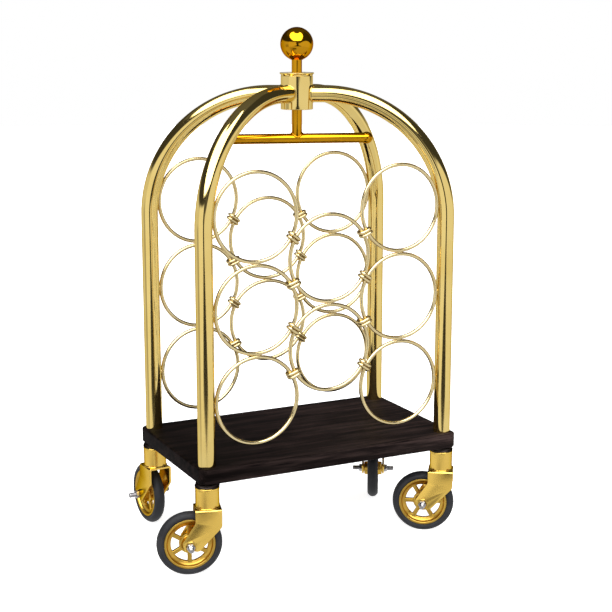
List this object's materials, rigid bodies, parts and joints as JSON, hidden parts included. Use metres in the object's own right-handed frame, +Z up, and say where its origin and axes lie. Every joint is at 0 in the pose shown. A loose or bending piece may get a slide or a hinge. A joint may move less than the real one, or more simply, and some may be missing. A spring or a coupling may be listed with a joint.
{
  "type": "bottle rack cart",
  "caption": "Small birdcage luggage cart that holds bottles in wire rings, with a dark wood deck, bent brass tube legs, a T-bar with a ball finial and swivel casters.",
  "frame": {"origin": "centre of the deck's top face", "axes": "+X along the deck's length to the right, +Y from the front of the cart to the back, +Z up along the hanger rod"},
  "size_m": [0.385, 0.2481, 0.6092],
  "materials": {
    "frame_brass": "polished pale brass plate",
    "amber_brass": "polished deep amber brass",
    "ring_wire": "satin pale gold wire",
    "caster_gold": "satin gold plate",
    "rim_gold": "satin deep gold casting",
    "zinc_steel": "bright zinc plate",
    "dark_steel": "blackened steel, lightly oiled",
    "tyre_rubber": "matt charcoal rubber",
    "deck_wood": "near-black stained wood, satin lacquer"
  },
  "bodies": {
    "root": {"deck": "deck_wood", "leg_inserts": "zinc_steel", "leg_front_left": "frame_brass", "leg_front_right": "frame_brass", "leg_back_left": "frame_brass", "leg_back_right": "frame_brass", "hub": "frame_brass", "hub_cap": "frame_brass", "finial_ball": "amber_brass", "hanger_rod": "amber_brass", "hanger_bar": "amber_brass", "rings_front_left": "ring_wire", "rings_front_middle": "ring_wire", "rings_front_right": "ring_wire", "rings_back_left": "ring_wire", "rings_back_middle": "ring_wire", "rings_back_right": "ring_wire", "wire_ties_front": "ring_wire", "wire_ties_back": "ring_wire", "stem_front_left": "dark_steel", "race_ring_front_left": "dark_steel", "stem_front_right": "dark_steel", "race_ring_front_right": "dark_steel", "stem_back_left": "dark_steel", "race_ring_back_left": "dark_steel", "stem_back_right": "dark_steel", "race_ring_back_right": "dark_steel"},
    "caster_front_left": {"barrel_front_left": "caster_gold", "fork_front_left": "caster_gold", "axle_sleeve_front_left": "caster_gold", "axle_stud_front_left": "zinc_steel", "axle_nuts_front_left": "zinc_steel"},
    "wheel_front_left": {"wheel_rim_front_left": "rim_gold", "tyre_front_left": "tyre_rubber"},
    "caster_front_right": {"barrel_front_right": "caster_gold", "fork_front_right": "caster_gold", "axle_sleeve_front_right": "caster_gold", "axle_stud_front_right": "zinc_steel", "axle_nuts_front_right": "zinc_steel"},
    "wheel_front_right": {"wheel_rim_front_right": "rim_gold", "tyre_front_right": "tyre_rubber"},
    "caster_back_left": {"barrel_back_left": "caster_gold", "fork_back_left": "caster_gold", "axle_sleeve_back_left": "caster_gold", "axle_stud_back_left": "zinc_steel", "axle_nuts_back_left": "zinc_steel"},
    "wheel_back_left": {"wheel_rim_back_left": "rim_gold", "tyre_back_left": "tyre_rubber"},
    "caster_back_right": {"barrel_back_right": "caster_gold", "fork_back_right": "caster_gold", "axle_sleeve_back_right": "caster_gold", "axle_stud_back_right": "zinc_steel", "axle_nuts_back_right": "zinc_steel"},
    "wheel_back_right": {"wheel_rim_back_right": "rim_gold", "tyre_back_right": "tyre_rubber"}
  },
  "joints": [
    {"name": "swivel_front_left", "type": "hinge", "parent": "root", "child": "caster_front_left", "pos_m": [-0.154, -0.0845, -0.036], "axis": [0, 0, 1], "continuous": true},
    {"name": "roll_front_left", "type": "hinge", "parent": "caster_front_left", "child": "wheel_front_left", "pos_m": [-0.17419, -0.07871, -0.0895], "axis": [-0.2756, -0.9613, 0], "continuous": true},
    {"name": "swivel_front_right", "type": "hinge", "parent": "root", "child": "caster_front_right", "pos_m": [0.154, -0.0845, -0.036], "axis": [0, 0, 1], "continuous": true},
    {"name": "roll_front_right", "type": "hinge", "parent": "caster_front_right", "child": "wheel_front_right", "pos_m": [0.13659, -0.07276, -0.0895], "axis": [-0.5592, -0.829, 0], "continuous": true},
    {"name": "swivel_back_left", "type": "hinge", "parent": "root", "child": "caster_back_left", "pos_m": [-0.154, 0.0845, -0.036], "axis": [0, 0, 1], "continuous": true},
    {"name": "roll_back_left", "type": "hinge", "parent": "caster_back_left", "child": "wheel_back_left", "pos_m": [-0.15546, 0.10545, -0.0895], "axis": [-0.9976, -0.0698, 0], "continuous": true},
    {"name": "swivel_back_right", "type": "hinge", "parent": "root", "child": "caster_back_right", "pos_m": [0.154, 0.0845, -0.036], "axis": [0, 0, 1], "continuous": true},
    {"name": "roll_back_right", "type": "hinge", "parent": "caster_back_right", "child": "wheel_back_right", "pos_m": [0.1435, 0.06631, -0.0895], "axis": [0.866, -0.5, 0], "continuous": true}
  ]
}
